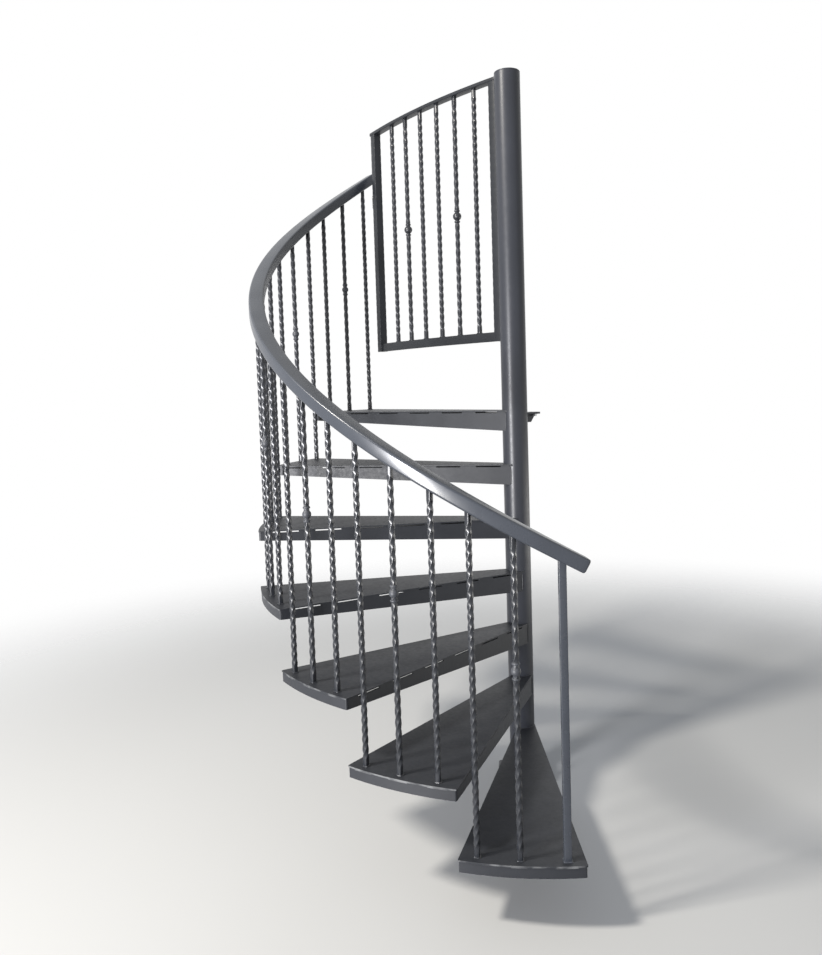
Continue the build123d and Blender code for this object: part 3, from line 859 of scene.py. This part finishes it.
# Hinges: a lug with a barrel and pin on the column, and a leaf with a barrel on the gate
hinge = {
    "barrel": 9.0, "high": 40.0, "edge": 1.2, "leafEdge": 1, "pin": 5.0, "pinSpace": 0.05, "gap": 1.0,
    "standOff": 1.5, "lugThick": 8.0, "lugShort": 0.5, "lugRounding": 0.6, "sunk": 0.6, "overlap": 1.0,
    "leaf": 32.0, "leafThick": 4.0, "leafInset": 1.5, "leafShort": 0.3, "leafRounding": 0.5,
    "weld": 2.4, "weldGap": 3.0, "screwAt": 0.66, "screwShares": (0.25, 0.75),
    "screw": ((5.0, -0.2), (5.0, 0.6), (3.5, 1.6), (1.6, 1.9)),     # its profile, as (radius, height)
}
stileMatrix = gatePlace(-halfBow)
hingeX = -gate["stile"] / 2
hingeY = -gate["stile"] / 2 - hinge["standOff"] - hinge["barrel"]
hingeSpot = stileMatrix @ Vector((hingeX, hingeY, 0))


def buildHinge(level):
    lugNode = f"{level}_hinge_lug"
    leafNode = f"{level}_hinge_leaf"
    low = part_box(lugNode)[0].z / metre
    middle = low + hinge["high"]
    leafLow = middle + hinge["gap"]
    high = leafLow + hinge["high"]
    barrel, pin, edge = hinge["barrel"], hinge["pin"], hinge["edge"]
    mesh = bmesh.new()
    profile = [(barrel - edge, low), (barrel, low + edge), (barrel, middle - edge), (barrel - edge, middle)]
    profile += [(pin, middle + 0.2), (pin, high - 2), (pin - edge, high - 1)]   # the pin ends in the leaf
    addTurned(mesh, placed(hingeSpot), profile)
    lug = turnedTo(azimuthOf(hingeSpot))
    across = hinge["lugThick"] / 2
    start = reachOf(layout["columnRadius"], across) - hinge["sunk"]
    reach = math.hypot(hingeSpot.x, hingeSpot.y) - barrel + hinge["overlap"]
    corners = [(start, -across), (reach, -across), (reach, across), (start, across)]
    ends = (low + hinge["lugShort"], middle - hinge["lugShort"])
    addLoft(mesh, [[lug @ Vector((x, y, z)) for x, y in corners] for z in ends])
    ends = (low + hinge["weldGap"], middle - hinge["weldGap"])
    for side in (-1, 1):
        line = [lug @ Vector((start + 0.9, side * (across + 0.4), z)) for z in ends]
        addBead(mesh, line, hinge["weld"])
    rounding = hinge["lugRounding"]
    addPiece(f"{level}HingeLug", mesh, "stair", columnPaint, [lugNode], bevel=rounding)
    mesh = bmesh.new()
    inner, leafEdge = pin + hinge["pinSpace"], hinge["leafEdge"]
    edges = [
        (inner, leafLow), (barrel - leafEdge, leafLow), (barrel, leafLow + leafEdge),
        (barrel, high - leafEdge), (barrel - leafEdge, high), (inner, high),
    ]
    spot = stileMatrix @ Matrix.Translation((hingeX, hingeY, 0))
    addLoft(mesh, [raised(spot, roundOutline(radius, 32), z) for radius, z in edges], looped=True)
    back = -gate["stile"] / 2
    front = back - hinge["leafThick"]
    root, tip = hingeX + hinge["leafInset"], hingeX + hinge["leaf"]
    leaf = [(root, front), (tip, front), (tip, back), (root, back)]
    ends = (leafLow + hinge["leafShort"], high - hinge["leafShort"])
    addLoft(mesh, [[stileMatrix @ Vector((x, y, z)) for x, y in leaf] for z in ends])
    screwX = hingeX + hinge["leaf"] * hinge["screwAt"]
    for share in hinge["screwShares"]:
        spot = stileMatrix @ Matrix.Translation((screwX, front, leafLow + hinge["high"] * share))
        addTurned(mesh, spot @ Matrix.Rotation(math.radians(90), 4, "X"), hinge["screw"], count=20)
    rounding = hinge["leafRounding"]
    addPiece(f"{level}HingeLeaf", mesh, "gate", gateShadedPaint, [leafNode], bevel=rounding)


for level in ("lower", "upper"):
    buildHinge(level)

# Latch: a plate on the latch stile with a bolt that slides out of its face
latch = {
    "plateHigh": 60.0, "plateThick": 4.0, "plateCorner": 3, "edge": 0.5,
    "bolt": 6.0, "reach": 24.0, "screwAt": 21.0,
    "collar": ((9.5, -0.5), (9.5, 3), (8.3, 4)),                    # radius, and height over the plate
    "boltTip": ((0, 2.5), (1, 0.8), (2.4, 0)),                      # taken off the bolt's radius and reach
    "screw": ((4.4, -0.3), (4.4, 0.4), (3.4, 1.4), (1.2, 1.8)),
}


def buildLatch():
    low, high = (corner.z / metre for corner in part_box("gate_latch"))
    spot = Matrix.Translation((gate["stile"] / 2, 0, (low + high) / 2))
    outward = gatePlace(halfBow) @ spot @ Matrix.Rotation(math.radians(90), 4, "Y")
    thick, bolt = latch["plateThick"], latch["bolt"]
    mesh = bmesh.new()
    outline = boxOutline(latch["plateHigh"], gate["stile"], latch["plateCorner"])
    addLoft(mesh, [raised(outward, outline, 0), raised(outward, outline, thick)])
    addTurned(mesh, outward, [(radius, thick + height) for radius, height in latch["collar"]])
    tip = [(bolt - less, latch["reach"] - short) for less, short in latch["boltTip"]]
    addTurned(mesh, outward, [(bolt, 0)] + tip, count=28)
    for side in (-1, 1):
        spot = outward @ Matrix.Translation((side * latch["screwAt"], 0, thick))
        addTurned(mesh, spot, latch["screw"], count=20)
    addPiece("gateLatch", mesh, "gate", boltZinc, ["gate_latch"], bevel=latch["edge"])


buildLatch()

# Bracket on the column: a plate over a gusset, with the heads of two bolts below it
bracket = {
    "azimuth": 41.2, "width": 56.0, "thick": 8.0, "reach": 112.0, "edge": 0.8, "sunk": 0.4,
    "gusset": 33.0, "gussetTop": 108.0, "gussetLow": 84.0, "weld": 2.6, "weldGaps": (4.0, 3.0, 2.0),
    "boltReach": 92.0, "boltSpacing": 34.0, "boltScale": 0.85,
}


def buildBracket():
    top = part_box("deck_bracket")[1].z / metre
    under = top - bracket["thick"]
    low = under - bracket["gusset"]
    lug = turnedTo(bracket["azimuth"])
    half = bracket["width"] / 2
    radius = layout["columnRadius"]
    mesh = bmesh.new()
    inner = [(reachOf(radius, half * share), half * share) for share in (1, 0.6, 0.2, -0.2, -0.6, -1)]
    outline = [(bracket["reach"], -half), (bracket["reach"], half)] + inner
    addLoft(mesh, [[lug @ Vector((x, y, z)) for x, y in outline] for z in (under, top)])
    root = radius - bracket["sunk"]
    side = [(root, under), (bracket["gussetTop"], under), (bracket["gussetLow"], low), (root, low)]
    web = bracket["thick"] / 2
    addLoft(mesh, [[lug @ Vector((x, y, z)) for x, z in side] for y in (-web, web)])
    ends, above, below = bracket["weldGaps"]
    level = [(radius + ends, under - 0.6), (bracket["gussetTop"] - ends, under - 0.6)]
    upright = [(radius + 0.4, under - above), (radius + 0.4, low + below)]
    for y in (-web - 0.3, web + 0.3):
        for line in (level, upright):
            addBead(mesh, [lug @ Vector((x, y, z)) for x, z in line], bracket["weld"])
    edge = bracket["edge"]
    addPiece("deckBracket", mesh, "stair", columnPaint, ["deck_bracket"], bevel=edge)
    mesh = bmesh.new()
    for y in (-0.5, 0.5):
        spot = lug @ Matrix.Translation((bracket["boltReach"], y * bracket["boltSpacing"], under))
        addHexNut(mesh, spot @ Matrix.Rotation(math.pi, 4, "X"), scale=bracket["boltScale"])
    addPiece("bracketBolts", mesh, "stair", boltZinc, sharp=30)


buildBracket()
print("hinges, latch and bracket built")

# Floor, light and camera, in metres. The floor lies a little low, so that it doesn't share the base's plane
studio = {
    "floor": "#c4c4c2", "floorRoughness": 0.9, "floorHalf": 30.0, "floorDrop": 0.0004,
    "fadeFrom": 1.8, "fadeTo": 4.6, "air": "#e2eaf6", "airStrength": 0.31, "aim": (0, 0, 1.4),
}


# Pale matt floor: it takes soft shadows, mirrors nothing, and fades into the white far from the stair
def buildFloor():
    mesh = bmesh.new()
    half = studio["floorHalf"]
    corners = ((-half, -half), (half, -half), (half, half), (-half, half))
    mesh.faces.new([mesh.verts.new((x, y, -studio["floorDrop"])) for x, y in corners])
    data = bpy.data.meshes.new("studioFloor")
    mesh.to_mesh(data)
    mesh.free()
    floor = bpy.data.objects.new("studioFloor", data)
    bpy.context.scene.collection.objects.link(floor)
    material, tree, shader = newMaterial("paleMattFloor")
    shader.inputs["Base Color"].default_value = toLinear(studio["floor"])
    shader.inputs["Roughness"].default_value = studio["floorRoughness"]
    place = addNode(tree, "ShaderNodeTexCoord").outputs["Object"]
    distance = addNode(tree, "ShaderNodeVectorMath", {"operation": "LENGTH"}, links={0: place})
    fade = addNode(
        tree, "ShaderNodeMapRange", {"interpolation_type": "SMOOTHSTEP"},
        {"From Min": studio["fadeFrom"], "From Max": studio["fadeTo"]}, {"Value": distance.outputs["Value"]})
    clear = addNode(tree, "ShaderNodeBsdfTransparent")
    mix = addNode(
        tree, "ShaderNodeMixShader", links={0: fade.outputs[0], 1: shader.outputs[0], 2: clear.outputs[0]})
    tree.links.new(mix.outputs[0], tree.nodes["Material Output"].inputs["Surface"])
    data.materials.append(material)


# Pale air lights the object, and rays that are seen straight, mirrored or passed through meet plain white
def buildWorld():
    world = bpy.data.worlds.new("studioAir")
    bpy.context.scene.world = world
    world.use_nodes = True
    tree = world.node_tree
    air = tree.nodes["Background"]
    air.inputs["Color"].default_value = toLinear(studio["air"])
    air.inputs["Strength"].default_value = studio["airStrength"]
    white = addNode(tree, "ShaderNodeBackground", values={"Color": (1, 1, 1, 1), "Strength": 1.0})
    seen = addNode(tree, "ShaderNodeLightPath")
    direct = seen.outputs["Is Camera Ray"]
    for ray in ("Is Glossy Ray", "Is Transmission Ray"):
        links = {0: direct, 1: seen.outputs[ray]}
        direct = addNode(tree, "ShaderNodeMath", {"operation": "MAXIMUM"}, links=links).outputs[0]
    mix = addNode(tree, "ShaderNodeMixShader", links={0: direct, 1: air.outputs[0], 2: white.outputs[0]})
    tree.links.new(mix.outputs[0], tree.nodes["World Output"].inputs["Surface"])


lamps = {
    "keyLamp": {"at": (-3.3, -2.6, 4.9), "size": (0.8, 0.8), "power": 330, "colour": "#fffaf2"},
    "lowLamp": {"at": (-4.3, -5.6, 1.1), "size": (1.3, 1.3), "power": 700, "colour": "#f6f6fa"},
    "fillLamp": {"at": (3.6, -3.4, 2.4), "size": (2.8, 2.8), "power": 8, "colour": "#eaf1ff"},
    "backLamp": {"at": (-1.6, 4.2, 4.4), "size": (2.4, 2.4), "power": 60, "colour": "#f4f7ff"},
    "glintLamp": {"at": (-3.2, -4.7, 0.35), "size": (0.7, 0.7), "power": 150, "colour": "#fbf8f2"},
    "groundStrip": {"at": (3.4, 0.4, 0.45), "size": (5.0, 0.7), "power": 45, "colour": "#f4f2ee"},
}
# Lamps that don't show in gloss, and lamps that show nowhere else
unmirrored = ("backLamp",)
glossOnly = ("glintLamp", "groundStrip")


def buildLamps():
    aim = Vector(studio["aim"])
    for name, settings in lamps.items():
        light = bpy.data.lights.new(name, "AREA")
        light.shape = "ELLIPSE"
        light.size, light.size_y = settings["size"]
        light.energy = settings["power"]
        light.color = toLinear(settings["colour"])[:3]
        lamp = bpy.data.objects.new(name, light)
        lamp.location = settings["at"]
        lamp.visible_glossy = name not in unmirrored
        lamp.visible_diffuse = name not in glossOnly
        lamp.rotation_euler = (aim - lamp.location).to_track_quat("-Z", "Y").to_euler()
        bpy.context.scene.collection.objects.link(lamp)


# Camera at the photograph's viewing angle, at eye height in front of the lowest tread. Angles in radians
shot = {
    "at": (0.0, -3.400, 1.6206), "lens": 36.676, "sensor": 36, "shiftY": -0.0407,
    "yaw": -0.1244, "down": 0.069, "roll": -0.0322,
}


def buildCamera():
    camera = bpy.data.cameras.new("photoCamera")
    camera.sensor_fit = "HORIZONTAL"
    camera.sensor_width = shot["sensor"]
    camera.lens = shot["lens"]
    camera.shift_y = shot["shiftY"]
    eye = bpy.data.objects.new("photoCamera", camera)
    yaw, down, roll = shot["yaw"], shot["down"], shot["roll"]
    forward = Vector((math.sin(yaw) * math.cos(down), math.cos(yaw) * math.cos(down), -math.sin(down)))
    level = Vector((math.cos(yaw), -math.sin(yaw), 0))
    above = level.cross(forward)
    right = level * math.cos(roll) + above * math.sin(roll)
    up = above * math.cos(roll) - level * math.sin(roll)
    turn = Matrix((right, up, -forward)).transposed()
    eye.matrix_world = Matrix.Translation(shot["at"]) @ turn.to_4x4()
    bpy.context.scene.collection.objects.link(eye)
    bpy.context.scene.camera = eye


buildFloor()
buildWorld()
buildLamps()
buildCamera()
bpy.context.scene.view_settings.view_transform = "Standard"
print("studio ready")
